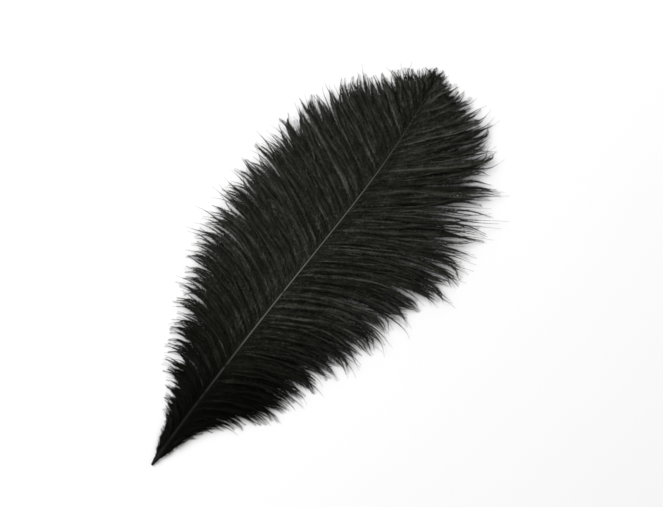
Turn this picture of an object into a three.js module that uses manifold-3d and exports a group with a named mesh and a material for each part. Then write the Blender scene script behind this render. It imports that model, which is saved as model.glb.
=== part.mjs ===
// A black ostrich plume lying face up: a quill and shaft with loose barbs drawn into pointed locks.
// Millimetres, +Z up. +X runs along the shaft from quill to tip, and +Y points to the feather's left.
// The origin is on the quill's flat underside, at the grip, on the surface that the plume lies on.
// Distances along the shaft, called stations, are counted from the quill's end.

import * as THREE from "three";
import { mergeVertices } from "three/addons/utils/BufferGeometryUtils.js";
import Module from "manifold-3d";

// Shaft
const FEATHER_LENGTH = 450;
const SHAFT_LENGTH = 438;
const GRIP_STATION = 34;
const BOW = 9; // the shaft swings this far to the right in plan
const BOW_SHAPE = 2.4; // above 1, it puts the swing nearer the tip
const ARCH = 13; // the shaft's underside lifts this far off the surface
const FLAT_QUILL = 72; // the length of quill that lies flat
const QUILL_WIDTH = 5.2;
const SHAFT_TIP_WIDTH = 0.9;
const QUILL_END_TAPER = 8; // the length over which the quill closes to its end
const QUILL_END_SHARE = 0.4; // the end's width as a share of the quill's
const TAPER_SHAPE = 0.7; // below 1, the shaft thins sooner
const HEADING_REACH = 0.5; // the shaft's heading is taken this far each way
const SHAFT_SIDES = 8;
const SHAFT_STEPS = 36;

// Locks
const LOCKS_PER_SIDE = 40;
const FIRST_LOCK = 10;
const LAST_LOCK = 436;
const LOCK_WIDTH = 12.2;
const LOCK_THICKNESS = 6.4;
const FULL_WIDTH_LENGTH = 44; // a shorter lock is narrower in proportion
const NARROWEST = 0.5; // the narrowest lock's share of that width
const ROOT_SHARE = 0.66; // a lock's width at the shaft, as a share of its full width
const ROOT_WIDENS = 0.2; // the share of its length over which it widens
const POINT_STARTS = 0.66; // the share of its length where its point begins
const LOFT = 14; // how high the longest lock bows up on its way to the surface
const LONGEST_LOCK = 140;
const SHINGLE_ROLL = THREE.MathUtils.degToRad(20); // each lock tips over the next one
const LENGTH_SPREAD = 0.1; // how unevenly long neighbouring locks are
const GOLDEN_SHARE = 0.618034;
const LOCK_STEPS = 7;
const LOCK_SIDES = 4;
const TURNS_PER_STEP = 6; // a lock's heading changes this often along each step

// Each row gives a station, a lock's length there, and its headings off the shaft in degrees.
const vane = (rows) =>
  rows.map(([station, length, root, middle, tip]) => ({ station, length, root, middle, tip }));
const LEFT_VANE = vane([
  [10, 14, 16, 26, 34],
  [46, 33, 34, 66, 92],
  [72, 49, 40, 80, 108],
  [115, 76, 44, 82, 100],
  [175, 103, 47, 82, 90],
  [240, 109, 53, 80, 74],
  [305, 107, 58, 76, 58],
  [355, 82, 57, 69, 48],
  [395, 51, 48, 52, 40],
  [420, 30, 34, 36, 30],
  [436, 13, 12, 14, 10],
]);
const RIGHT_VANE = vane([
  [10, 15, 16, 24, 30],
  [46, 43, 40, 54, 72],
  [72, 75, 49, 63, 88],
  [115, 83, 52, 66, 92],
  [175, 104, 52, 66, 88],
  [240, 132, 51, 62, 76],
  [270, 140, 51, 59, 64],
  [305, 131, 50, 56, 50],
  [355, 102, 47, 50, 24],
  [395, 60, 42, 42, 22],
  [420, 30, 32, 30, 18],
  [436, 13, 10, 10, 8],
]);

const UP = new THREE.Vector3(0, 0, 1);
const { clamp, lerp, smoothstep, degToRad } = THREE.MathUtils;

// The shaft

function shaftUnderside(station) {
  const swing = BOW * Math.sin(Math.PI * Math.max(0, station / FEATHER_LENGTH) ** BOW_SHAPE);
  const lifted = clamp((station - FLAT_QUILL) / (SHAFT_LENGTH - FLAT_QUILL), 0, 1);
  return new THREE.Vector3(station - GRIP_STATION, -swing, ARCH * Math.sin(Math.PI * lifted) ** 2);
}

function shaftHeading(station) {
  const ahead = shaftUnderside(station + HEADING_REACH);
  return ahead.sub(shaftUnderside(station - HEADING_REACH)).normalize();
}

function shaftWidth(station) {
  const taper = lerp(QUILL_WIDTH, SHAFT_TIP_WIDTH, (station / SHAFT_LENGTH) ** TAPER_SHAPE);
  return taper * lerp(QUILL_END_SHARE, 1, smoothstep(station, 0, QUILL_END_TAPER));
}

// Moves every point of a closed blank, whose height runs from 0 to 1, to its place on the plume.
function moulded(blank, place) {
  const position = blank.attributes.position;
  const point = new THREE.Vector3();
  for (let i = 0; i < position.count; i++) {
    point.fromBufferAttribute(position, i);
    const placed = place(point.y + 0.5, point.x, point.z);
    position.setXYZ(i, placed.x, placed.y, placed.z);
  }
  return blank;
}

// The section is an even polygon with one side flat on the underside.
function shaftGeometry() {
  const halfSide = Math.PI / SHAFT_SIDES;
  const blank = new THREE.CylinderGeometry(1, 1, 1, SHAFT_SIDES, SHAFT_STEPS, false, halfSide);
  const flatSide = Math.cos(halfSide);
  return moulded(blank, (along, across, up) => {
    const station = along * SHAFT_LENGTH;
    const heading = shaftHeading(station);
    const side = new THREE.Vector3().crossVectors(heading, UP).normalize();
    const radius = shaftWidth(station) / 2;
    return shaftUnderside(station)
      .addScaledVector(side, across * radius)
      .addScaledVector(UP, (up + flatSide) * radius);
  });
}

// The locks

function vaneAt(rows, station) {
  const next = Math.max(1, rows.findIndex((row) => row.station >= station));
  const [before, after] = [rows[next - 1], rows[next]];
  const share = (station - before.station) / (after.station - before.station);
  const between = (key) => lerp(before[key], after[key], share);
  return {
    length: between("length"),
    root: between("root"),
    middle: between("middle"),
    tip: between("tip"),
  };
}

// A lock's middle line in plan turns from its root heading, past its middle one, to its tip heading.
function lockLine(rows, side, index) {
  const station = lerp(FIRST_LOCK, LAST_LOCK, index / (LOCKS_PER_SIDE - 1));
  const { length, root, middle, tip } = vaneAt(rows, station);
  const uneven = 1 + LENGTH_SPREAD * (((index + 1) * GOLDEN_SHARE) % 1) - LENGTH_SPREAD / 2;
  const run = length * uneven;
  const shaftHeadingAt = shaftHeading(station);
  const shaftTurn = Math.atan2(shaftHeadingAt.y, shaftHeadingAt.x);
  const start = shaftUnderside(station);
  const rootHeight = start.z + shaftWidth(station) / 2;
  const spot = start.clone();
  const line = [];
  const turns = LOCK_STEPS * TURNS_PER_STEP;
  for (let step = 0; step <= turns; step++) {
    const share = step / turns;
    const off = root * (1 - share) ** 2 + 2 * middle * share * (1 - share) + tip * share ** 2;
    const turn = shaftTurn + side * degToRad(off);
    const heading = new THREE.Vector3(Math.cos(turn), Math.sin(turn), 0);
    const bowed = ((4 * LOFT * run) / LONGEST_LOCK) * share * (1 - share);
    const height = rootHeight * (1 - share) ** 2 + bowed;
    if (step % TURNS_PER_STEP === 0) line.push({ centre: spot.clone().setZ(height), heading });
    spot.addScaledVector(heading, run / turns);
  }
  return { line, run };
}

function lockGeometry(rows, side, index) {
  const { line, run } = lockLine(rows, side, index);
  const fullWidth = LOCK_WIDTH * clamp(run / FULL_WIDTH_LENGTH, NARROWEST, 1);
  const blank = new THREE.ConeGeometry(1, 1, LOCK_SIDES, LOCK_STEPS);
  return moulded(blank, (along, x, z) => {
    const { centre, heading } = line[Math.round(along * LOCK_STEPS)];
    const ring = 1 - along;
    const [across, up] = ring > 0 ? [x / ring, z / ring] : [0, 0];
    const point = 1 - smoothstep(along, POINT_STARTS, 1);
    const body = lerp(ROOT_SHARE, 1, smoothstep(along, 0, ROOT_WIDENS)) * point;
    const roll = -side * SHINGLE_ROLL * point;
    const sideways = new THREE.Vector3().crossVectors(heading, UP).applyAxisAngle(heading, roll);
    const upwards = UP.clone().applyAxisAngle(heading, roll);
    const placed = centre
      .clone()
      .addScaledVector(sideways, (across * body * fullWidth) / 2)
      .addScaledVector(upwards, (up * body * LOCK_THICKNESS) / 2);
    return placed.setZ(Math.max(0, placed.z));
  });
}

// Joining: the barbs grow out of the shaft, so the plume is one closed solid

const wasm = await Module();
wasm.setup();

function solidOf(geometry) {
  geometry.deleteAttribute("normal");
  geometry.deleteAttribute("uv");
  const merged = mergeVertices(geometry);
  return new wasm.Manifold(
    new wasm.Mesh({
      numProp: 3,
      vertProperties: merged.attributes.position.array,
      triVerts: new Uint32Array(merged.index.array),
    }),
  );
}

function geometryOf(solid) {
  const mesh = solid.getMesh();
  return new THREE.BufferGeometry()
    .setAttribute("position", new THREE.BufferAttribute(mesh.vertProperties, 3))
    .setIndex(new THREE.BufferAttribute(mesh.triVerts, 1));
}

function plumeSolid() {
  let solid = solidOf(shaftGeometry());
  for (const [rows, side] of [
    [LEFT_VANE, 1],
    [RIGHT_VANE, -1],
  ]) {
    for (let index = 0; index < LOCKS_PER_SIDE; index++) {
      solid = solid.add(solidOf(lockGeometry(rows, side, index)));
    }
  }
  return solid;
}

const dyedBlack = new THREE.MeshStandardMaterial({ color: 0x1c1d19, roughness: 0.6, metalness: 0 });
const feather = new THREE.Mesh(geometryOf(plumeSolid()), dyedBlack);
feather.name = "feather";

const plume = new THREE.Group();
plume.add(feather);

export default plume;
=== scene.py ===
"""Dresses a black ostrich plume that lies face up: a tapering shaft with loose barbs on both sides."""

import logging
import math
from dataclasses import dataclass, field
from enum import Enum
from typing import Any, Union

import bmesh
import bpy
import numpy as np
from mathutils import Matrix, Vector


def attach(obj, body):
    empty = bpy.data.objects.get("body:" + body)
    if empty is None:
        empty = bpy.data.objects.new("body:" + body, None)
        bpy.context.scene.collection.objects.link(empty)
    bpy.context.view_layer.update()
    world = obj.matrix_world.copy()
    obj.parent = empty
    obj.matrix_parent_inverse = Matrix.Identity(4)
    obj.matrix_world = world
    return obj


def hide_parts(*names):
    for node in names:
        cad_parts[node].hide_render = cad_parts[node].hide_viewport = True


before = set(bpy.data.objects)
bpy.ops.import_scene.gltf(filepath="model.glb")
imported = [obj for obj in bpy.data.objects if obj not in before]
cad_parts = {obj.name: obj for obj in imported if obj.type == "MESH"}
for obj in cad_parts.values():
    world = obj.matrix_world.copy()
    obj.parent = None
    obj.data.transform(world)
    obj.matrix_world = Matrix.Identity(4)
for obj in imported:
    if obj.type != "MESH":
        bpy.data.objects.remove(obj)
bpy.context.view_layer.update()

LOG = logging.getLogger("plume")
MM = 0.001
BODY = "root"
NODE = "feather"
BAKE_MAP = "OFBake"
UP = Vector((0.0, 0.0, 1.0))
WHITE = (1.0, 1.0, 1.0, 1.0)
FULL_TURN = 2 * math.pi
TINY = 1e-12

Array = np.ndarray
Rng = np.random.Generator
Colour = tuple[float, float, float, float]
Range = tuple[float, float]
Socket = Union[int, str]


class Side(Enum):
    """The two sides of the shaft, as the sign of Y."""

    LEFT = 1
    RIGHT = -1


def smoothstep(low: float, high: float, value: Array) -> Array:
    """Eases from 0 at low to 1 at high."""
    share = np.clip((value - low) / (high - low), 0.0, 1.0)
    return share * share * (3.0 - 2.0 * share)


def unit(vectors: Array) -> Array:
    """Scales vectors to a length of 1."""
    return vectors / np.maximum(np.linalg.norm(vectors, axis=-1, keepdims=True), TINY)


class Shade:
    """A shader socket that takes part in Python arithmetic."""

    def __init__(self, dye: "Dye", socket: bpy.types.NodeSocket) -> None:
        """Wraps one output socket of a material under construction."""
        self.dye = dye
        self.socket = socket

    def maths(self, operation: str, first: "Value", second: "Value") -> "Shade":
        """Adds a Math node that works on two values."""
        return self.dye.node("ShaderNodeMath", {"operation": operation}, {0: first, 1: second})

    def __add__(self, other: "Value") -> "Shade":
        """Adds."""
        return self.maths("ADD", self, other)

    def __radd__(self, other: "Value") -> "Shade":
        """Adds, from the right."""
        return self.maths("ADD", other, self)

    def __sub__(self, other: "Value") -> "Shade":
        """Subtracts."""
        return self.maths("SUBTRACT", self, other)

    def __rsub__(self, other: "Value") -> "Shade":
        """Subtracts from a number."""
        return self.maths("SUBTRACT", other, self)

    def __mul__(self, other: "Value") -> "Shade":
        """Multiplies."""
        return self.maths("MULTIPLY", self, other)

    def __rmul__(self, other: "Value") -> "Shade":
        """Multiplies, from the right."""
        return self.maths("MULTIPLY", other, self)

    def __pow__(self, other: "Value") -> "Shade":
        """Raises to a power."""
        return self.maths("POWER", self, other)


Value = Union[Shade, float, tuple]


class Dye:
    """A material under construction: its shader and the nodes that feed it."""

    MIX_COLOURS = {"data_type": "RGBA", "clamp_factor": False}
    MIX_SHARE, MIX_FIRST, MIX_SECOND, MIX_RESULT = 0, 6, 7, 2

    def __init__(self, name: str) -> None:
        """Starts a material with one Principled shader.

        Args:
            name: the material's name.
        """
        self.material = bpy.data.materials.new(name)
        self.material.use_nodes = True
        self.tree = self.material.node_tree
        self.shader = self.tree.nodes["Principled BSDF"]

    def plug(self, socket: bpy.types.NodeSocket, value: Value) -> None:
        """Links or sets one input socket.

        Args:
            socket: the socket.
            value: what is linked to it, or its number, colour or vector.
        """
        if isinstance(value, Shade):
            self.tree.links.new(value.socket, socket)
        else:
            socket.default_value = value

    def node(
        self, kind: str, settings: dict[str, Any], sockets: dict[Socket, Value], output: Socket = 0
    ) -> Shade:
        """Adds one shader node.

        Args:
            kind: the node's type.
            settings: its properties, set before its sockets.
            sockets: the values or links of its inputs, by name or number.
            output: the output that is wanted.

        Returns:
            That output, ready for arithmetic.
        """
        node = self.tree.nodes.new(kind)
        for name, setting in settings.items():
            setattr(node, name, setting)
        for name, value in sockets.items():
            self.plug(node.inputs[name], value)
        return Shade(self, node.outputs[output])

    def feed(self, name: str, value: Value) -> None:
        """Links or sets one socket of the shader."""
        self.plug(self.shader.inputs[name], value)

    def mix(self, share: Value, first: Union[Shade, Colour], second: Union[Shade, Colour]) -> Shade:
        """Mixes two colours: the first at a share of 0, the second at 1, and past the second above that."""
        sockets = {self.MIX_SHARE: share, self.MIX_FIRST: first, self.MIX_SECOND: second}
        return self.node("ShaderNodeMix", self.MIX_COLOURS, sockets, self.MIX_RESULT)

    def own(self, name: str, output: str = "Fac") -> Shade:
        """Reads a number, or by another output a vector, that the piece's mesh holds at each point."""
        return self.node("ShaderNodeAttribute", {"attribute_name": name}, {}, output)

    def place(self) -> Shade:
        """Gives the piece's own coordinates."""
        return self.node("ShaderNodeTexCoord", {}, {}, "Object")

    def noise(self, where: Shade, scale: float, detail: float) -> Shade:
        """Adds a noise pattern, from 0 to 1, that follows some coordinates."""
        return self.node("ShaderNodeTexNoise", {}, {"Vector": where, "Scale": scale, "Detail": detail})


@dataclass(frozen=True)
class BarbFinish:
    """Dyed black barbs: warm near the shaft, cooler and greyer at their tips, with a faint shine and a
    lighter painted sheen.
    """

    deep: Colour = (0.0024, 0.0026, 0.0014, 1.0)
    # The lighter colours are painted sheen, mixed in where the barbs carry painted highlights
    painted_sheen_colour: Colour = (0.0415, 0.0430, 0.0345, 1.0)
    tip_deep: Colour = (0.0070, 0.0070, 0.0064, 1.0)
    tip_painted_sheen_colour: Colour = (0.0400, 0.0400, 0.0375, 1.0)
    barbule_painted_sheen_weight: float = 0.6
    pale_stem_and_gleam_weight: float = 0.4
    fleck_scale: float = 650.0
    fleck_detail: float = 2.0
    fleck_gain: float = 2.6
    fleck_cut: float = 0.3
    lightest: float = 1.4
    cool_power: float = 6.0  # the higher, the nearer its tip a barb turns cool
    roughness: float = 0.55
    silk_polish: float = 0.14
    fleck_roughness: float = 0.1
    shine: float = 0.04

    def make(self) -> bpy.types.Material:
        """Makes the material.

        Returns:
            A material that reads the barbs' painted sheen, reach and pale stem with its painted gleam.
        """
        dye = Dye("dyed_barbs_painted_sheen")
        tone, reach, pale_stem_and_painted_gleam = dye.own("tone"), dye.own("reach"), dye.own("pale_stem_and_painted_gleam")
        fleck = dye.noise(dye.place(), self.fleck_scale, self.fleck_detail)
        # Painted sheen: the lighter colour mixed over the black by the barbs' painted highlights and shade
        painted_sheen_share = tone * (self.barbule_painted_sheen_weight + self.pale_stem_and_gleam_weight * pale_stem_and_painted_gleam)
        painted_sheen_share = painted_sheen_share * (self.fleck_gain * fleck - self.fleck_cut)
        painted_sheen_share = painted_sheen_share.maths("MINIMUM", painted_sheen_share, self.lightest)
        cool = reach**self.cool_power
        deep = dye.mix(cool, self.deep, self.tip_deep)
        painted_sheen_colour = dye.mix(cool, self.painted_sheen_colour, self.tip_painted_sheen_colour)
        dye.feed("Base Color", dye.mix(painted_sheen_share, deep, painted_sheen_colour))
        dye.feed("Roughness", self.roughness - self.silk_polish * tone + self.fleck_roughness * fleck)
        dye.feed("Specular IOR Level", self.shine)
        return dye.material


@dataclass(frozen=True)
class ShaftFinish:
    """Dyed black horn: black at the quill, with a grey painted highlight along the shaft's top and a fine
    lengthwise grain.
    """

    black: Colour = (0.004, 0.004, 0.0035, 1.0)
    # The grey is the colour of the painted highlight
    grey: Colour = (0.150, 0.152, 0.132, 1.0)
    grain_stretch: tuple[float, float, float] = (0.06, 2.5, 2.5)
    grain_scale: float = 1.0
    grain_detail: float = 3.0
    grain_strength: float = 0.35
    grain_depth: float = 0.00006
    grain_roughness: float = 0.18
    even_painted_highlight: float = 0.65
    grain_painted_highlight: float = 0.7
    roughness: float = 0.5
    shine: float = 0.12

    def make(self) -> bpy.types.Material:
        """Makes the material.

        Returns:
            A material that reads the shaft's painted highlight and its grain.
        """
        dye = Dye("dyed_shaft_painted_highlight")
        painted_highlight = dye.own("painted_highlight")
        stretched = {"Vector": dye.own("grain", "Vector"), "Scale": self.grain_stretch}
        grain = dye.noise(dye.node("ShaderNodeMapping", {}, stretched), self.grain_scale, self.grain_detail)
        # Painted highlight: grey mixed in along the shaft's top; the black flanks stand as painted shade
        floor_wear_and_shaft_highlight = painted_highlight * (self.even_painted_highlight + self.grain_painted_highlight * grain)
        dye.feed("Base Color", dye.mix(floor_wear_and_shaft_highlight, self.black, self.grey))
        dye.feed("Roughness", self.roughness + self.grain_roughness * grain)
        bump = {"Strength": self.grain_strength, "Distance": self.grain_depth, "Height": grain}
        dye.feed("Normal", dye.node("ShaderNodeBump", {}, bump))
        dye.feed("Specular IOR Level", self.shine)
        return dye.material


@dataclass(frozen=True)
class FloorFinish:
    """A pale matt studio floor."""

    pale: Colour = (0.90, 0.90, 0.90, 1.0)
    floor_wear_and_shaft_highlight: Colour = (0.88, 0.88, 0.88, 1.0)
    cloud_scale: float = 3.0
    cloud_detail: float = 2.0
    roughness: float = 0.9
    shine: float = 0.0

    def make(self) -> bpy.types.Material:
        """Makes the material.

        Returns:
            A material that is a little cloudy.
        """
        dye = Dye("pale_floor")
        cloud = dye.noise(dye.place(), self.cloud_scale, self.cloud_detail)
        dye.feed("Base Color", dye.mix(cloud, self.pale, self.floor_wear_and_shaft_highlight))
        dye.feed("Roughness", self.roughness)
        dye.feed("Specular IOR Level", self.shine)
        return dye.material


def settle(piece: bpy.types.Object, material: bpy.types.Material) -> None:
    """Dresses a piece of the plume and makes it stand for the solid.

    Args:
        piece: the finished mesh object.
        material: its finish.
    """
    bpy.context.scene.collection.objects.link(piece)
    piece.data.materials.append(material)
    piece.data.shade_smooth()
    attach(piece, BODY)
    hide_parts(NODE)
    LOG.info("%s: %d faces", piece.name, len(piece.data.polygons))


def store_number(mesh: bpy.types.Mesh, title: str, numbers: Array) -> None:
    """Stores a number at each point of a mesh, for its material to read."""
    store = mesh.attributes.new(title, "FLOAT", "POINT")
    store.data.foreach_set("value", numbers.astype(np.float32))


@dataclass(frozen=True)
class Shaft:
    """The quill and shaft, in millimetres, with stations counted from the quill's end."""

    feather_length: float = 450.0
    length: float = 438.0
    grip: float = 34.0
    bow: float = 9.0  # how far the shaft swings to the right in plan
    bow_shape: float = 2.4  # above 1, it puts the swing nearer the tip
    arch: float = 13.0  # how far its underside lifts off the surface
    flat_quill: float = 72.0
    quill_width: float = 5.2
    tip_width: float = 0.9
    taper_shape: float = 0.7  # below 1, the shaft thins sooner
    end_taper: float = 8.0
    end_share: float = 0.4
    heading_reach: float = 0.5
    sides: int = 16
    rings: int = 146
    flat_side: float = math.cos(math.pi / 8)  # from the section's middle to its flat underside
    flat_tolerance: float = 0.001
    groove_share: float = 0.4
    groove_rises: Range = (72.0, 115.2)
    pit_width: float = 0.55
    pit_depth: float = 1.2
    # Painted highlight: rises past the quill, fades toward the tip, and lies on the shaft's top only
    painted_highlight_rises: Range = (60.0, 205.0)
    painted_highlight_fades: float = 300.0
    painted_highlight_loss: float = 0.8
    painted_highlight_above: float = 0.86

    def underside(self, station: Array) -> Array:
        """Gives the middle of the shaft's underside.

        Args:
            station: stations along the shaft.

        Returns:
            A point for each station.
        """
        swing = self.bow * np.sin(np.pi * np.maximum(0.0, station / self.feather_length) ** self.bow_shape)
        lifted = np.clip((station - self.flat_quill) / (self.length - self.flat_quill), 0.0, 1.0)
        return np.stack([station - self.grip, -swing, self.arch * np.sin(np.pi * lifted) ** 2], axis=-1)

    def heading(self, station: Array) -> Array:
        """Gives the way the shaft points at each station."""
        reach = self.heading_reach
        return unit(self.underside(station + reach) - self.underside(station - reach))

    def width(self, station: Array) -> Array:
        """Gives the shaft's width.

        Args:
            station: stations along the shaft.

        Returns:
            The width at each station.
        """
        thinned = np.maximum(0.0, station / self.length) ** self.taper_shape
        taper = self.quill_width + (self.tip_width - self.quill_width) * thinned
        return taper * (self.end_share + (1 - self.end_share) * smoothstep(0.0, self.end_taper, station))

    def section(self, station: float) -> Matrix:
        """Places the section's circle across the shaft.

        Args:
            station: where along the shaft.

        Returns:
            The matrix from a circle of radius 1 to its place, in metres.
        """
        spot = np.array([station])
        ahead = Vector(self.heading(spot)[0])
        across = ahead.cross(UP).normalized()
        radius = float(self.width(spot)[0]) / 2
        middle = Vector(self.underside(spot)[0]) + self.flat_side * radius * UP
        turned = Matrix((across, UP, ahead)).transposed().to_4x4()
        return Matrix.Translation(middle * MM) @ turned @ Matrix.Scale(radius * MM, 4)

    def build(self, finish: bpy.types.Material) -> None:
        """Draws the section out along the shaft, sinks the quill's pit and dresses the piece.

        Args:
            finish: the shaft's material.
        """
        bm = bmesh.new()
        quill_end = self.cut_section(bm)
        self.draw_out(bm, quill_end)
        bmesh.ops.recalc_face_normals(bm, faces=bm.faces[:])
        self.sink_pit(bm, quill_end)
        mesh = bpy.data.meshes.new("shaft")
        bm.to_mesh(mesh)
        bm.free()
        self.mark_painted_highlight(mesh)
        settle(bpy.data.objects.new("shaft", mesh), finish)

    def cut_section(self, bm: bmesh.types.BMesh) -> bmesh.types.BMFace:
        """Makes the round section with its flat underside, whose middle gets a point for the groove.

        Args:
            bm: the shaft's mesh, still empty.

        Returns:
            The face of the section, of radius 1.
        """
        bmesh.ops.create_circle(bm, cap_ends=True, segments=self.sides, radius=1.0)
        cut = bm.verts[:] + bm.edges[:] + bm.faces[:]
        flat = Vector((0.0, -self.flat_side, 0.0))
        bmesh.ops.bisect_plane(bm, geom=cut, plane_co=flat, plane_no=(0.0, -1.0, 0.0), clear_outer=True)
        lowest = self.flat_tolerance - self.flat_side
        low = [edge for edge in bm.edges if all(vert.co.y < lowest for vert in edge.verts)]
        bmesh.ops.subdivide_edges(bm, edges=low, cuts=1)
        bm.faces.ensure_lookup_table()
        return bm.faces[0]

    def draw_out(self, bm: bmesh.types.BMesh, quill_end: bmesh.types.BMFace) -> None:
        """Extrudes the section ring by ring to the shaft's tip, and grooves its underside.

        Args:
            bm: the shaft's mesh.
            quill_end: the section, which stays as the quill's end.
        """
        stations = self.length * np.linspace(0.0, 1.0, self.rings + 1)
        before = self.section(stations[0])
        bmesh.ops.transform(bm, matrix=before, verts=bm.verts[:])
        face = quill_end
        rings = []
        for station in stations[1:]:
            after = self.section(station)
            made = bmesh.ops.extrude_face_region(bm, geom=[face])["geom"]
            verts = [item for item in made if isinstance(item, bmesh.types.BMVert)]
            face = next(item for item in made if isinstance(item, bmesh.types.BMFace))
            bmesh.ops.transform(bm, matrix=after @ before.inverted(), verts=verts)
            before = after
            rings.append((verts, after, station))
        for ring in rings:
            self.groove(*ring)

    def groove(self, verts: list[bmesh.types.BMVert], placed: Matrix, station: float) -> None:
        """Lifts the middle of one ring's underside, past the quill, into a shallow groove.

        Args:
            verts: the ring's vertices.
            placed: the ring's own matrix.
            station: where the ring is.
        """
        lowest = placed @ Vector((0.0, -self.flat_side, 0.0))
        middle = min(verts, key=lambda vert: (vert.co - lowest).length)
        share = self.groove_share * float(smoothstep(*self.groove_rises, np.array(station)))
        middle.co.z += share * float(self.width(np.array(station))) * MM

    def sink_pit(self, bm: bmesh.types.BMesh, quill_end: bmesh.types.BMFace) -> None:
        """Sinks the small pit that closes the quill's end."""
        bmesh.ops.inset_region(bm, faces=[quill_end], thickness=self.pit_width * MM, depth=0.0)
        bmesh.ops.translate(bm, vec=quill_end.normal * -self.pit_depth * MM, verts=quill_end.verts[:])

    def mark_painted_highlight(self, mesh: bpy.types.Mesh) -> None:
        """Stores how much painted highlight each point gets, on the shaft's top only, and its place on a
        straightened shaft.

        Args:
            mesh: the shaft's mesh.
        """
        points = np.empty(len(mesh.vertices) * 3, np.float32)
        mesh.vertices.foreach_get("co", points)
        points = points.reshape(-1, 3) / MM
        station = points[:, 0] + self.grip
        raised = points - self.underside(station)
        above = raised[:, 2] / self.width(station)
        # Painted highlight on the top strip, brightest along the middle of the shaft
        rise = smoothstep(*self.painted_highlight_rises, station)
        fall = 1.0 - self.painted_highlight_loss * smoothstep(self.painted_highlight_fades, self.length, station)
        store_number(mesh, "painted_highlight", rise * fall * smoothstep(self.painted_highlight_above, 1.0, above))
        straight = np.stack([station, raised[:, 1], raised[:, 2]], axis=-1)
        store = mesh.attributes.new("grain", "FLOAT_VECTOR", "POINT")
        store.data.foreach_set("vector", straight.astype(np.float32).ravel())


@dataclass
class Barb:
    """One barb: its middle line and length, and what sets it apart from its neighbours."""

    line: Array
    run: float
    tone: Array
    own_light: float
    gleam: float
    roll: float
    fluff: float
    thins: float


@dataclass
class BarbMesh:
    """A barb's points, triangles, their corners on the flat map, and its points' painted sheen, reach and
    pale stem with painted gleam.
    """

    points: Array
    triangles: Array
    flat: Array
    numbers: Array


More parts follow.
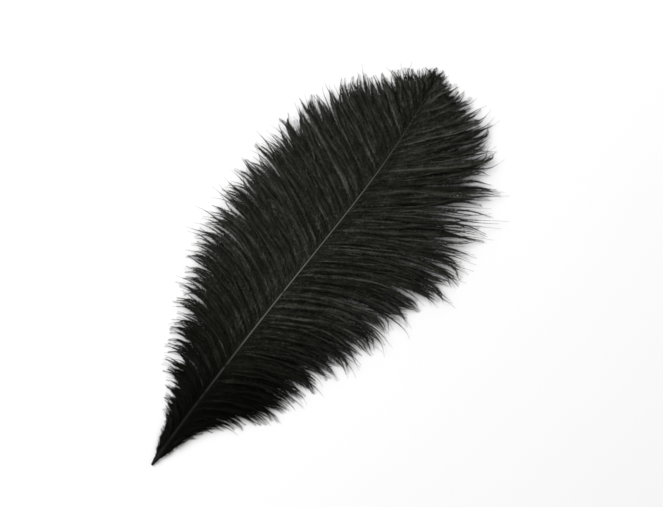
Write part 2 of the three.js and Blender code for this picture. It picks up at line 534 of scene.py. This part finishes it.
@dataclass(frozen=True)
class BarbForm:
    """The shape of a barb and its barbules, in millimetres and degrees, and its pale stem with a painted
    gleam.
    """

    pitch: float = 0.96  # between one barbule and the next
    fewest_pairs: int = 4
    step_power: float = 0.9  # below 1, the steps are longer near the root
    stem_width: float = 0.52
    stem_tip_width: float = 0.12
    barbule: float = 5.0
    barbule_lengths: Range = (0.65, 1.15)
    barbule_start: float = 0.2
    barbule_grows: Range = (0.5, 9.0)
    barbule_shrinks: float = 28.0
    shrinks_share: float = 0.6
    barbule_end: float = 0.17
    barbule_angle: float = 40.0
    barbule_tip_angle: float = 16.0
    angle_spread: float = 7.0
    tilt_spread: float = 12.0
    most_tilt: float = 20.0
    fluff: Range = (0.8, 1.15)
    stray_fluff: float = 0.45
    base_fluff: float = 0.25
    sparse_falls: Range = (4.0, 14.0)
    sparseness: float = 0.45
    sparse_loss: float = 0.9
    clearance: float = 0.1
    # A paler stem, with painted sheen on it and a painted gleam near its root, where it also swells
    plain_pale_stem: float = 0.3
    gleam_rises: Range = (2.0, 8.0)
    gleam_falls: Range = (10.0, 30.0)
    gleam_swell: float = 0.05
    most_swell: float = 0.3
    # Painted sheen at the barbule tips, with random painted glints
    tip_painted_sheen: float = 0.4
    tip_painted_glint: float = 2.4
    painted_glint_power: int = 3
    map_strip: float = 0.45
    map_stem: float = 0.2

    def make(self, barb: Barb, rng: Rng) -> BarbMesh:
        """Makes one barb: a three-sided stem whose two upper sides are drawn out into barbules.

        Args:
            barb: its line and looks.
            rng: the vane's random numbers.

        Returns:
            The barb's mesh.
        """
        share, sparse = self.steps(barb.run)
        known = np.linspace(0.0, 1.0, len(barb.line))
        line = np.stack([np.interp(share, known, axis) for axis in barb.line.T], axis=-1)
        tone = np.interp(share, known, barb.tone)
        along, left, up = self.bearings(line, barb.roll)
        lit = smoothstep(*self.gleam_rises, barb.run * share)
        lit = lit * (1 - smoothstep(*self.gleam_falls, barb.run * share))
        width = self.stem_width + (self.stem_tip_width - self.stem_width) * share
        width = (width * (1 + min(self.most_swell, self.gleam_swell * barb.gleam) * lit))[:, None]
        top = line + width / 2 * up
        port = line + width / 2 * left - width / 4 * up
        starboard = line - width / 2 * left - width / 4 * up

        middle = (share[1:] + share[:-1]) / 2
        grown = smoothstep(*self.barbule_grows, barb.run * middle)
        grown = self.barbule_start + (1 - self.barbule_start) * grown
        whole = smoothstep(0.0, barb.thins, barb.run * (1 - middle))
        size = self.barbule * barb.fluff * grown * (self.barbule_end + (1 - self.barbule_end) * whole)
        size[1::2] *= 1 - self.sparse_loss * sparse[1::2]
        spread = self.barbule_tip_angle + (self.barbule_angle - self.barbule_tip_angle) * whole
        tips = []
        for sideways, side in ((left, port), (-left, starboard)):
            base = (side[1:] + side[:-1] + top[1:] + top[:-1]) / 4
            tips.append(base + self.reaches(size, spread, (along[1:], sideways[1:], up[1:]), rng))
        points = np.concatenate([top, port, starboard, *tips])
        points[:, 2] = np.maximum(points[:, 2], self.clearance)

        # Stem: paler, with painted highlights at random, plus a painted gleam near the root
        pale_stem_and_painted_gleam = self.plain_pale_stem + barb.own_light + barb.gleam * lit
        # Painted sheen at the barbule tips, some lifted at random into painted glints
        painted_glint = self.tip_painted_sheen + self.tip_painted_glint * rng.random(middle.size) ** self.painted_glint_power
        tip_painted_sheen = (tone[1:] + tone[:-1]) / 2 * painted_glint
        painted_sheen_levels = np.concatenate([tone, tone, tone, tip_painted_sheen, tip_painted_sheen])
        reach = np.concatenate([share, share, share, middle, middle])
        pale_stems_and_painted_gleams = np.concatenate([pale_stem_and_painted_gleam, pale_stem_and_painted_gleam, pale_stem_and_painted_gleam, np.zeros(2 * middle.size)])
        numbers = np.stack([painted_sheen_levels, reach, pale_stems_and_painted_gleams], axis=-1)
        triangles, across = self.faces(middle.size)
        return BarbMesh(points, triangles, np.stack([reach, across], axis=-1)[triangles], numbers)

    def steps(self, run: float) -> tuple[Array, Array]:
        """Shares out a stem's rings, every second one drawn back near the tip to leave gaps.

        Args:
            run: the barb's length.

        Returns:
            Each ring's share of that length, and how sparse the barbules after it are.
        """
        count = 2 * max(self.fewest_pairs, int(round(run / self.pitch / 2)))
        share = np.linspace(0.0, 1.0, count + 1) ** self.step_power
        sparse = 1 - smoothstep(*self.sparse_falls, run * (1 - share))
        share[1::2] -= self.sparseness * sparse[1::2] * (share[1::2] - share[:-1:2])
        return share, sparse

    @staticmethod
    def bearings(line: Array, roll: float) -> tuple[Array, Array, Array]:
        """Gives a barb's own directions at each ring.

        Args:
            line: its middle line.
            roll: how far it is rolled over, in radians.

        Returns:
            The ways along it, to its left and up from it.
        """
        along = unit(np.gradient(line, axis=0))
        level = unit(np.stack([-along[:, 1], along[:, 0], np.zeros(len(line))], axis=-1))
        upright = np.cross(along, level)
        left = np.cos(roll) * level + np.sin(roll) * upright
        return along, left, np.cos(roll) * upright - np.sin(roll) * level

    def reaches(self, size: Array, spread: Array, ways: tuple[Array, ...], rng: Rng) -> Array:
        """Points the barbules on one side of a barb, each a little unlike the next.

        Args:
            size: their lengths.
            spread: their angles off the stem, in degrees.
            ways: at each of them, the ways along the barb, out to this side and up.
            rng: the vane's random numbers.

        Returns:
            The move from each barbule's base to its tip.
        """
        along, sideways, up = ways
        angle = np.radians(spread + rng.normal(0.0, self.angle_spread, size.size))[:, None]
        tilt = np.clip(rng.normal(0.0, self.tilt_spread, size.size), -self.most_tilt, self.most_tilt)
        tilt = np.radians(tilt)[:, None]
        reach = (size * rng.uniform(*self.barbule_lengths, size.size))[:, None]
        outward = np.cos(tilt) * sideways + np.sin(tilt) * up
        return reach * (np.cos(angle) * along + np.sin(angle) * outward)

    def faces(self, steps: int) -> tuple[Array, Array]:
        """Lists a barb's triangles, which close it all round.

        Args:
            steps: how many steps its stem has.

        Returns:
            The triangles, and where across the flat map each point is, from -1 to 1.
        """
        ring = np.arange(steps)
        top, port, starboard = ring, ring + steps + 1, ring + 2 * (steps + 1)
        left_tip, right_tip = ring + 3 * (steps + 1), ring + 3 * (steps + 1) + steps
        corners = [
            (port, top, left_tip),
            (top, top + 1, left_tip),
            (top + 1, port + 1, left_tip),
            (port + 1, port, left_tip),
            (starboard, starboard + 1, right_tip),
            (starboard + 1, top + 1, right_tip),
            (top + 1, top, right_tip),
            (top, starboard, right_tip),
            (port, port + 1, starboard + 1),
            (port, starboard + 1, starboard),
        ]
        sides = np.concatenate([np.stack(corner, axis=-1) for corner in corners])
        root_end = [top[0], port[0], starboard[0]]
        tip_end = [top[-1] + 1, starboard[-1] + 1, port[-1] + 1]
        triangles = np.concatenate([sides, np.array([root_end, tip_end])])
        rings, tips = np.ones(steps + 1), np.ones(steps)
        across = np.concatenate([0 * rings, self.map_stem * rings, -self.map_stem * rings, tips, -tips])
        return triangles, across


@dataclass(frozen=True)
class VaneRow:
    """What a vane is like at one station along the shaft.

    That is a barb's length, its headings off the shaft in degrees, how loosely it lies among its
    neighbours, with 1 for plainly, and how many degrees further its very tip turns.
    """

    station: float
    length: float
    root: float
    middle: float
    tip: float
    ragged: float = 1.0
    droop: float = 0.0


@dataclass(frozen=True)
class VaneForm:
    """How a vane's barbs gather into tufts, and its tufts into locks, in millimetres and degrees."""

    barb_count: int = 560
    barb_span: Range = (8.0, 437.0)
    barb_jitter: float = 0.3
    lock_count: int = 40
    lock_span: Range = (10.0, 436.0)
    tufts_per_lock: int = 4
    tuft_jitter: float = 0.08
    samples: int = 56  # points along a strand's line
    root_offset: float = 0.3  # from the shaft's middle to a barb's root, as a share of its width

    # Lengths, as shares of the vane's
    length_spread: float = 0.05
    golden_share: float = 0.618034  # keeps neighbouring locks unalike
    lock_spear: float = 0.05
    tuft_spear: float = 0.05
    spear_power: float = 1.5
    tuft_uneven: Range = (-0.1, 0.03)
    overreach: float = 1.14
    shortest: float = 0.9
    stray_longest: float = 1.07

    # Headings
    lock_sway: float = 2.0
    lock_sway_from: float = 0.8  # the raggedness at which locks start to sway
    lock_curl: float = 9.0
    drift: float = 0.6
    drift_lengths: tuple[float, ...] = (130.0, 75.0, 45.0)
    tuft_sway: float = 1.8
    tuft_curl: float = 16.0
    crossing_share: float = 0.08
    crossing_sway: float = 3.6
    barb_sway: float = 2.6
    barb_curl: float = 13.0
    stray_share: float = 0.22
    stray_sway: float = 9.0
    curl_power: int = 6  # the higher, the nearer its tip a strand curls
    ragged_power: float = 1.5

    # How strands draw together before their tips
    lock_pull: float = 0.2
    lock_pull_from: float = 0.6  # the raggedness at which tufts start to draw in
    lock_window: float = 24.0
    tuft_pull: float = 0.78
    tuft_window: float = 19.0
    stray_pull: float = 0.3
    window_share: float = 0.5

    # How they wave from side to side
    wave: float = 1.5
    wave_sizes: Range = (0.2, 1.3)
    wave_cycles: Range = (0.8, 1.7)
    own_wave: float = 0.4
    own_cycles: float = 2.3
    wave_rises: Range = (0.05, 0.5)

    def spacing(self) -> float:
        """Gives the distance between locks along the shaft."""
        return (self.lock_span[1] - self.lock_span[0]) / (self.lock_count - 1)

    def half_tuft(self) -> float:
        """Gives half the distance between tufts along the shaft."""
        return self.spacing() / 2 / self.tufts_per_lock


@dataclass(frozen=True)
class VaneLift:
    """How high a vane's barbs lie, and how far they roll over, in millimetres and degrees."""

    loft: float = 12.5  # how high the longest barb bows up on its way to the surface
    longest: float = 140.0
    root_height: float = 0.66
    lock_crown: float = 1.8
    tuft_crown: float = 1.0
    shingle: float = 0.16  # how steeply each lock tips over the next one
    layers: float = 0.6
    most_layers: float = 1.6
    swell_rises: Range = (1.0, 18.0)
    swell_fades: float = 0.7
    swell_loss: float = 0.85
    roll_spread: float = 12.0
    roll_lean: float = 14.0


@dataclass
class Places:
    """Where a vane's barbs sit: their stations, locks and tufts, and about -1 to 1 across them."""

    station: Array
    lock: Array
    tuft: Array
    in_lock: Array
    in_tuft: Array


@dataclass(frozen=True)
class VaneLight:
    """A vane's painted sheen: highlights painted on lock and tuft crests, shade between, less at the base.
    """

    lock_light: float  # how much of the painted highlight follows locks, and not tufts
    root_light: float  # how much painted sheen, and painted gleam, is left next to the shaft; the rest is painted shade
    gain: float
    # Painted sheen: a plain share, and painted highlights on the crests of locks and tufts, dark between
    plain: float = 0.3
    crest: float = 0.4
    crest_lights: Range = (0.25, 1.0)
    crest_place: float = 0.3
    crest_width: float = 0.5
    crest_steady: float = 0.65
    crest_cycles: float = 0.9
    # Painted shadow beside the shaft, where less painted sheen is left
    root_shade: float = 0.6
    root_shade_ends: float = 0.2
    dapple_spread: float = 0.3
    dapple_depth: float = 0.38
    dapple_cycles: Range = (2.0, 8.0)
    darkest: float = 0.02
    dusk_lifts: Range = (65.0, 210.0)
    # Painted highlights on barb stems: at random, and a painted gleam beside the shaft on barbs that lie
    # high
    own_light: float = 3.0
    gleam: float = 4.2
    gleam_layer: float = 0.6  # only barbs that lie higher than this get a painted gleam
    gleam_dusk: float = 0.08
    gleam_power: float = 0.7

    def dusk(self, station: Array) -> Array:
        """Gives how much of its painted sheen a barb keeps: nearly none at the base, so the vane is darkest
        there.
        """
        return self.darkest + (1 - self.darkest) * smoothstep(*self.dusk_lifts, station)

    def gleams(self, station: Array, layer: Array) -> Array:
        """Gives how brightly each barb's stem is painted to gleam next to the shaft, if it lies high."""
        lit = self.root_light * self.gleam * np.maximum(0.0, layer - self.gleam_layer)
        return lit / np.maximum(self.dusk(station), self.gleam_dusk) ** self.gleam_power

    def painted_sheen_levels(self, at: Places, share: Array, rng: Rng) -> Array:
        """Works out each barb's painted sheen: painted highlights on crests, painted shade between and by
        the shaft.

        Args:
            at: where each barb sits.
            share: how far along a barb each of its points is.
            rng: the vane's random numbers.

        Returns:
            The painted sheen at each point of each barb, from 0 for black.
        """
        crests = []
        for group, offset in ((at.lock, at.in_lock), (at.tuft, at.in_tuft)):
            lit = rng.uniform(*self.crest_lights, group.max() + 1)[group]
            phase = rng.uniform(0, FULL_TURN, group.max() + 1)[group]
            crest = lit * np.exp(-(((offset - self.crest_place) / self.crest_width) ** 2))
            wave = np.sin(FULL_TURN * self.crest_cycles * share + phase[:, None])
            crests.append(crest[:, None] * (self.crest_steady + (1 - self.crest_steady) * wave))
        tone = self.plain + self.crest * (self.lock_light * crests[0] + (1 - self.lock_light) * crests[1])
        at_root = 1 - smoothstep(0.0, self.root_shade_ends, share)
        tone = self.gain * tone * (1 - self.root_shade * (1 - self.root_light) * at_root)
        often = rng.uniform(*self.dapple_cycles, at.station.size)[:, None]
        phase = rng.uniform(0, FULL_TURN, at.station.size)[:, None]
        dapple = rng.normal(0.0, self.dapple_spread, at.station.size)[:, None]
        dapple = dapple + self.dapple_depth * np.sin(FULL_TURN * often * share + phase)
        return tone * self.dusk(at.station)[:, None] * np.exp(dapple)


@dataclass
class Strands:
    """Some locks, tufts or barbs of a vane, with their lines in plan."""

    station: Array
    stretch: Array
    sway: Array
    plan: Array

    def run(self) -> Array:
        """Measures each strand along its line."""
        return np.linalg.norm(np.diff(self.plan, axis=1), axis=2).sum(axis=1)


@dataclass
class Vane:
    """One side of the plume: loose barbs that gather into tufts, and tufts into pointed locks."""

    side: Side
    rows: tuple[VaneRow, ...]
    shaft: Shaft
    light: VaneLight
    seed: int
    form: VaneForm = VaneForm()
    lift: VaneLift = VaneLift()
    barb_form: BarbForm = BarbForm()
    parts: tuple[str, ...] = ("lower", "middle", "upper")
    rng: Rng = field(init=False)
    share: Array = field(init=False)

    def __post_init__(self) -> None:
        """Seeds the vane's random numbers, and sets how far along a strand each of its points is."""
        self.rng = np.random.default_rng(self.seed)
        self.share = np.linspace(0.0, 1.0, self.form.samples)[None, :]

    def build(self, finish: bpy.types.Material) -> None:
        """Makes and dresses the vane's meshes, in parts along the shaft with about as much barb in each.

        Args:
            finish: the barbs' material.
        """
        barbs = self.gather()
        run = np.array([barb.run for barb in barbs])
        ahead = np.cumsum(run) / run.sum()
        part_of = np.minimum((ahead * len(self.parts)).astype(int), len(self.parts) - 1)
        for index, part in enumerate(self.parts):
            members = [barb for barb, its_part in zip(barbs, part_of) if its_part == index]
            settle(self.joined(f"{self.side.name.lower()}_vane_{part}", members), finish)

    def column(self, name: str, station: Array) -> Array:
        """Reads one column of the vane's rows at each station."""
        stations = [row.station for row in self.rows]
        return np.interp(station, stations, [getattr(row, name) for row in self.rows])

    def lay(self, station: Array, stretch: Array, sway: Array, curl: Array) -> Strands:
        """Draws strands in plan, from the shaft's side outwards.

        Args:
            station: where each strand leaves the shaft.
            stretch: its length as a share of the vane's length there.
            sway: degrees by which its outer half turns away from the vane's heading.
            curl: degrees by which its very tip turns further.

        Returns:
            The strands.
        """
        share, sign = self.share, self.side.value
        root = self.column("root", station)[:, None]
        middle = (self.column("middle", station) + sway / 2)[:, None]
        tip = (self.column("tip", station) + sway)[:, None]
        off = root * (1 - share) ** 2 + 2 * middle * share * (1 - share) + tip * share**2
        off = off + (curl + self.column("droop", station))[:, None] * share**self.form.curl_power
        ahead = self.shaft.heading(station)
        shaft_turn = np.arctan2(ahead[:, 1], ahead[:, 0])
        turn = shaft_turn[:, None] + sign * np.radians(off)
        heading = np.stack([np.cos(turn), np.sin(turn)], axis=-1)
        step = (self.column("length", station) * stretch / (self.form.samples - 1))[:, None, None]
        moves = step * (heading[:, 1:] + heading[:, :-1]) / 2
        outward = sign * np.stack([-np.sin(shaft_turn), np.cos(shaft_turn)], axis=-1)
        offset = self.form.root_offset * self.shaft.width(station)[:, None] * outward
        start = (self.shaft.underside(station)[:, :2] + offset)[:, None, :]
        plan = np.concatenate([start, start + np.cumsum(moves, axis=1)], axis=1)
        return Strands(station, stretch, sway, plan)

    def draw_in(self, strands: Strands, goal: Array, window: Array, pull: Array) -> None:
        """Draws strands together over the last stretch before their tips.

        Args:
            strands: the strands to move.
            goal: the line that each one is drawn to.
            window: how long before each tip this starts.
            pull: how far each one is drawn in at its tip, from 0 to 1.
        """
        run = strands.run()[:, None]
        before_tip = run * (1 - self.share) / np.minimum(window[:, None], self.form.window_share * run)
        share = pull[:, None] * (1 - smoothstep(0.0, 1.0, before_tip))
        strands.plan = strands.plan + share[..., None] * (goal - strands.plan)

    def locks(self) -> Strands:
        """Lays the locks' middle lines, which follow the solid's.

        Returns:
            The locks.
        """
        form, rng = self.form, self.rng
        index = np.arange(form.lock_count)
        station = form.lock_span[0] + form.spacing() * index
        ragged = self.column("ragged", station)
        uneven = 1 + form.length_spread * (((index + 1) * form.golden_share) % 1 - 0.5)
        sway = rng.normal(0.0, form.lock_sway, index.size) * (ragged - form.lock_sway_from)
        for length in form.drift_lengths:
            sway = sway + form.drift * np.sin(FULL_TURN * (station / length + rng.random()))
        curl = rng.normal(0.0, 1.0, index.size) * form.lock_curl * (ragged - 1.0)
        return self.lay(station, uneven, sway, curl)

    def tufts(self, locks: Strands) -> tuple[Strands, Array]:
        """Lays the tufts that make up each lock, the middle one the longest.

        Args:
            locks: the locks.

        Returns:
            The tufts, and the lock that each belongs to.
        """
        form, rng = self.form, self.rng
        index = np.arange(form.lock_count * form.tufts_per_lock)
        lock = index // form.tufts_per_lock
        inside = (index % form.tufts_per_lock + 0.5) / form.tufts_per_lock - 0.5
        inside = inside + rng.uniform(-form.tuft_jitter, form.tuft_jitter, index.size)
        station = np.clip(locks.station[lock] + form.spacing() * inside, *form.barb_span)
        ragged = self.column("ragged", station)
        shorter = form.lock_spear * np.abs(2 * inside) ** form.spear_power
        uneven = rng.uniform(*form.tuft_uneven, index.size) * np.sqrt(ragged)
        crossing = rng.random(index.size) < form.crossing_share
        turned = np.where(crossing, form.crossing_sway, form.tuft_sway * ragged**form.ragged_power)
        sway = locks.sway[lock] + rng.normal(0.0, 1.0, index.size) * turned
        curl = rng.normal(0.0, form.tuft_curl, index.size) * np.sqrt(ragged)
        tufts = self.lay(station, locks.stretch[lock] * (1 - shorter + uneven), sway, curl)
        pull = form.lock_pull * (ragged - form.lock_pull_from)
        self.draw_in(tufts, locks.plan[lock], form.lock_window * ragged, pull)
        return tufts, lock

    def barbs(self, tufts: Strands) -> tuple[Strands, Array, Array]:
        """Lays the barbs, of which a few stray from their tufts.

        Args:
            tufts: the tufts.

        Returns:
            The barbs, the tuft that each belongs to, and which ones stray.
        """
        form, rng = self.form, self.rng
        count = form.barb_count
        jitter = rng.uniform(-form.barb_jitter, form.barb_jitter, count)
        station = np.linspace(*form.barb_span, count) + jitter
        tuft = np.abs(station[:, None] - tufts.station[None, :]).argmin(axis=1)
        inside = np.minimum(1.0, np.abs(station - tufts.station[tuft]) / form.half_tuft())
        stray = rng.random(count) < form.stray_share
        stretch = form.overreach * tufts.stretch[tuft] * (1 - form.tuft_spear * inside**form.spear_power)
        stretch = stretch * rng.uniform(form.shortest, 1.0, count)
        stretch = np.where(stray, stretch * rng.uniform(1.0, form.stray_longest, count), stretch)
        sway = tufts.sway[tuft] + rng.normal(0.0, form.barb_sway, count)
        sway = sway + stray * rng.normal(0.0, form.stray_sway, count)
        barbs = self.lay(station, stretch, sway, rng.normal(0.0, form.barb_curl, count))
        window = form.tuft_window * self.column("ragged", station) ** form.ragged_power
        pull = form.tuft_pull * np.where(stray, form.stray_pull, 1.0)
        self.draw_in(barbs, tufts.plan[tuft], window, pull)
        barbs.plan = barbs.plan + self.waves(barbs.plan, tuft, len(tufts.station))
        return barbs, tuft, stray

    def waves(self, plan: Array, tuft: Array, tufts: int) -> Array:
        """Sways each tuft, and each barb a little more, from side to side.

        Args:
            plan: the barbs' points in plan.
            tuft: the tuft that each barb belongs to.
            tufts: how many tufts there are.

        Returns:
            Sideways moves in plan.
        """
        rng, form, share = self.rng, self.form, self.share
        along = unit(np.gradient(plan, axis=1))
        sideways = np.stack([-along[..., 1], along[..., 0]], axis=-1)
        phase = rng.uniform(0, FULL_TURN, tufts)[tuft]
        often = rng.uniform(*form.wave_cycles, tufts)[tuft]
        size = rng.uniform(*form.wave_sizes, tufts)[tuft] * form.wave
        own_phase = rng.uniform(0, FULL_TURN, tuft.size)
        tuft_wave = size[:, None] * np.sin(FULL_TURN * often[:, None] * share + phase[:, None])
        own_wave = np.sin(FULL_TURN * form.own_cycles * share + own_phase[:, None])
        moves = tuft_wave + form.own_wave * form.wave * own_wave
        return (smoothstep(*form.wave_rises, share) * moves)[..., None] * sideways

    def heights(self, at: Places, run: Array, layer: Array) -> Array:
        """Lifts the barbs: from the shaft's side, over their bow and crowns, down to their tips.

        Args:
            at: where each barb sits.
            run: its length.
            layer: how high it lies among its neighbours.

        Returns:
            The height of each point of each barb.
        """
        lift, share = self.lift, self.share
        root = self.shaft.underside(at.station)[:, 2] + lift.root_height * self.shaft.width(at.station)
        bowed = 4 * lift.loft * run[:, None] / lift.longest * share * (1 - share)
        crown = lift.lock_crown * (1 - at.in_lock**2)
        crown = crown + lift.tuft_crown * (1 - np.minimum(1.0, at.in_tuft**2))
        crown = crown + lift.shingle * at.in_lock * self.form.spacing() / 2 + lift.layers * layer
        swell = smoothstep(*lift.swell_rises, run[:, None] * share)
        swell = swell * (1 - lift.swell_loss * smoothstep(lift.swell_fades, 1.0, share))
        return np.maximum(root[:, None] * (1 - share) ** 2 + bowed + crown[:, None] * swell, 0.0)

    def gather(self) -> list[Barb]:
        """Lays out the vane, lifts its barbs off the surface and gives each its own looks.

        Returns:
            Every barb of the vane, from the quill to the tip.
        """
        form, lift, light, rng = self.barb_form, self.lift, self.light, self.rng
        locks = self.locks()
        tufts, lock_of = self.tufts(locks)
        barbs, tuft, stray = self.barbs(tufts)
        station, lock, run = barbs.station, lock_of[tuft], barbs.run()
        in_lock = (station - locks.station[lock]) / (self.form.spacing() / 2)
        in_tuft = (station - tufts.station[tuft]) / self.form.half_tuft()
        at = Places(station, lock, tuft, in_lock, in_tuft)
        layer = np.clip(rng.normal(0.0, 1.0, run.size), -lift.most_layers, lift.most_layers)
        line = np.concatenate([barbs.plan, self.heights(at, run, layer)[..., None]], axis=2)
        # Painted sheen and shade along each barb, and painted highlights on its stem
        tone = light.painted_sheen_levels(at, self.share, rng)
        roll = np.radians(rng.normal(0.0, lift.roll_spread, run.size) - self.side.value * lift.roll_lean)
        own_light = light.own_light * rng.random(run.size) ** 2
        gleam = light.gleams(station, layer)
        fluff = np.where(stray, form.stray_fluff, rng.uniform(*form.fluff, run.size))
        fluff = fluff * (1 + form.base_fluff * (1 - light.dusk(station)))
        thins = np.minimum(form.barbule_shrinks * self.column("ragged", station), form.shrinks_share * run)
        return [Barb(*each) for each in zip(line, run, tone, own_light, gleam, roll, fluff, thins)]

    def joined(self, name: str, barbs: list[Barb]) -> bpy.types.Object:
        """Joins some barbs in one mesh, each with its own strip of the flat map.

        Args:
            name: the piece's name.
            barbs: the barbs that it holds.

        Returns:
            The piece's object.
        """
        made = [self.barb_form.make(barb, self.rng) for barb in barbs]
        before = np.cumsum([0] + [len(barb.points) for barb in made[:-1]])
        points = np.concatenate([barb.points for barb in made])
        faces = np.concatenate([barb.triangles + first for barb, first in zip(made, before)])
        flat = np.concatenate([barb.flat for barb in made])
        strip = np.repeat(np.arange(len(made)) + 0.5, [len(barb.flat) for barb in made])
        flat[..., 1] = (strip[:, None] + self.barb_form.map_strip * flat[..., 1]) / len(made)
        numbers = np.concatenate([barb.numbers for barb in made])

        mesh = bpy.data.meshes.new(name)
        mesh.vertices.add(len(points))
        mesh.vertices.foreach_set("co", (points * MM).astype(np.float32).ravel())
        mesh.loops.add(faces.size)
        mesh.loops.foreach_set("vertex_index", faces.astype(np.int32).ravel())
        mesh.polygons.add(len(faces))
        mesh.polygons.foreach_set("loop_start", np.arange(0, faces.size, 3, dtype=np.int32))
        mesh.uv_layers.new(name=BAKE_MAP).uv.foreach_set("vector", flat.astype(np.float32).ravel())
        # Stores the painted sheen, the reach, and the pale stem with its painted gleam, for the material
        for title, column in zip(("tone", "reach", "pale_stem_and_painted_gleam"), numbers.T):
            store_number(mesh, title, column)
        mesh.update(calc_edges=True)
        mesh.validate()
        return bpy.data.objects.new(name, mesh)


LEFT_ROWS = (
    VaneRow(10, 14, 16, 26, 34, 2.0),
    VaneRow(46, 33, 34, 66, 92, 1.6, 20),
    VaneRow(72, 50, 40, 80, 108, 1.3, 24),
    VaneRow(115, 78, 44, 82, 100, 1.2, 26),
    VaneRow(175, 106, 47, 82, 90, 1.25, 26),
    VaneRow(240, 112, 53, 80, 74, 1.25, 22),
    VaneRow(305, 109, 58, 76, 58, 1.2),
    VaneRow(355, 83, 57, 69, 48, 1.1),
    VaneRow(395, 51, 48, 52, 40),
    VaneRow(420, 30, 34, 36, 30),
    VaneRow(436, 16, 12, 14, 10),
)

RIGHT_ROWS = (
    VaneRow(10, 15, 16, 24, 30, 2.0),
    VaneRow(46, 43, 40, 54, 72, 1.6, 12),
    VaneRow(72, 75, 49, 63, 88, 1.3, 18),
    VaneRow(115, 84, 52, 66, 92, 1.15, 20),
    VaneRow(175, 106, 52, 66, 88, 1.2, 20),
    VaneRow(240, 133, 51, 62, 76, 1.15, 20),
    VaneRow(258, 137, 51, 60, 69, 1.2, 10),
    VaneRow(270, 140, 51, 59, 64, 2.2),
    VaneRow(290, 135, 50, 57, 56, 2.8),
    VaneRow(305, 131, 50, 56, 50, 2.0),
    VaneRow(325, 119, 49, 54, 40, 1.2),
    VaneRow(355, 103, 47, 50, 24, 1.1),
    VaneRow(395, 60, 42, 42, 22),
    VaneRow(420, 30, 32, 30, 18),
    VaneRow(436, 16, 10, 10, 8),
)


@dataclass(frozen=True)
class Studio:
    """A pale floor, soft light and a camera that looks straight down, in metres and degrees."""

    centre: tuple[float, float] = (0.22125, -0.01887)
    shown_width: float = 0.6086
    lens: float = 85.0
    sensor: float = 36.0
    lie: float = -53.88
    plume_height: float = 0.008
    floor_size: float = 3.0
    floor_drop: float = 0.0002
    sky: float = 0.62
    key_place: tuple[float, float, float] = (0.45, 1.5, 1.7)
    key_size: float = 1.4
    key_power: float = 44.0

    def build(self) -> None:
        """Makes the floor, the lights and the camera."""
        self.lay_floor()
        self.light()
        self.aim()

    def lay_floor(self) -> None:
        """Lays the floor just under the plume."""
        bm = bmesh.new()
        bmesh.ops.create_grid(bm, x_segments=1, y_segments=1, size=self.floor_size)
        bmesh.ops.translate(bm, vec=(0.0, 0.0, -self.floor_drop), verts=bm.verts[:])
        mesh = bpy.data.meshes.new("floor")
        bm.to_mesh(mesh)
        bm.free()
        mesh.materials.append(FloorFinish().make())
        floor = bpy.data.objects.new("floor", mesh)
        bpy.context.scene.collection.objects.link(floor)

    def light(self) -> None:
        """Adds a white sky and a large soft lamp on the plume's left."""
        world = bpy.data.worlds.new("soft_sky")
        world.use_nodes = True
        sky = world.node_tree.nodes["Background"]
        sky.inputs["Color"].default_value = WHITE
        sky.inputs["Strength"].default_value = self.sky
        bpy.context.scene.world = world
        lamp = bpy.data.lights.new("key", "AREA")
        lamp.size = self.key_size
        lamp.energy = self.key_power
        key = bpy.data.objects.new("key", lamp)
        key.location = self.key_place
        towards = Vector((*self.centre, 0.0)) - key.location
        key.rotation_euler = towards.to_track_quat("-Z", "Y").to_euler()
        bpy.context.scene.collection.objects.link(key)

    def aim(self) -> None:
        """Hangs the camera over the plume, turned so that the shaft slants up to the right."""
        view = bpy.data.cameras.new("camera")
        view.lens = self.lens
        view.sensor_width = self.sensor
        camera = bpy.data.objects.new("camera", view)
        away = self.shown_width * self.lens / self.sensor
        camera.location = (*self.centre, away + self.plume_height)
        camera.rotation_euler = (0.0, 0.0, math.radians(self.lie))
        bpy.context.scene.collection.objects.link(camera)
        bpy.context.scene.camera = camera
        bpy.context.scene.view_settings.view_transform = "Standard"


def main() -> None:
    """Builds the studio, the shaft and the two vanes."""
    logging.basicConfig(level=logging.INFO, format="%(name)s %(message)s")
    Studio().build()
    shaft = Shaft()
    shaft.build(ShaftFinish().make())
    barb_finish = BarbFinish().make()
    # Painted sheen for each vane: the left keeps painted gleams beside the shaft, the right painted shade
    # there
    left_light = VaneLight(lock_light=0.35, root_light=1.0, gain=1.04)
    right_light = VaneLight(lock_light=0.65, root_light=0.2, gain=1.72)
    Vane(Side.LEFT, LEFT_ROWS, shaft, left_light, seed=7).build(barb_finish)
    Vane(Side.RIGHT, RIGHT_ROWS, shaft, right_light, seed=64).build(barb_finish)


if __name__ == "__main__":
    main()
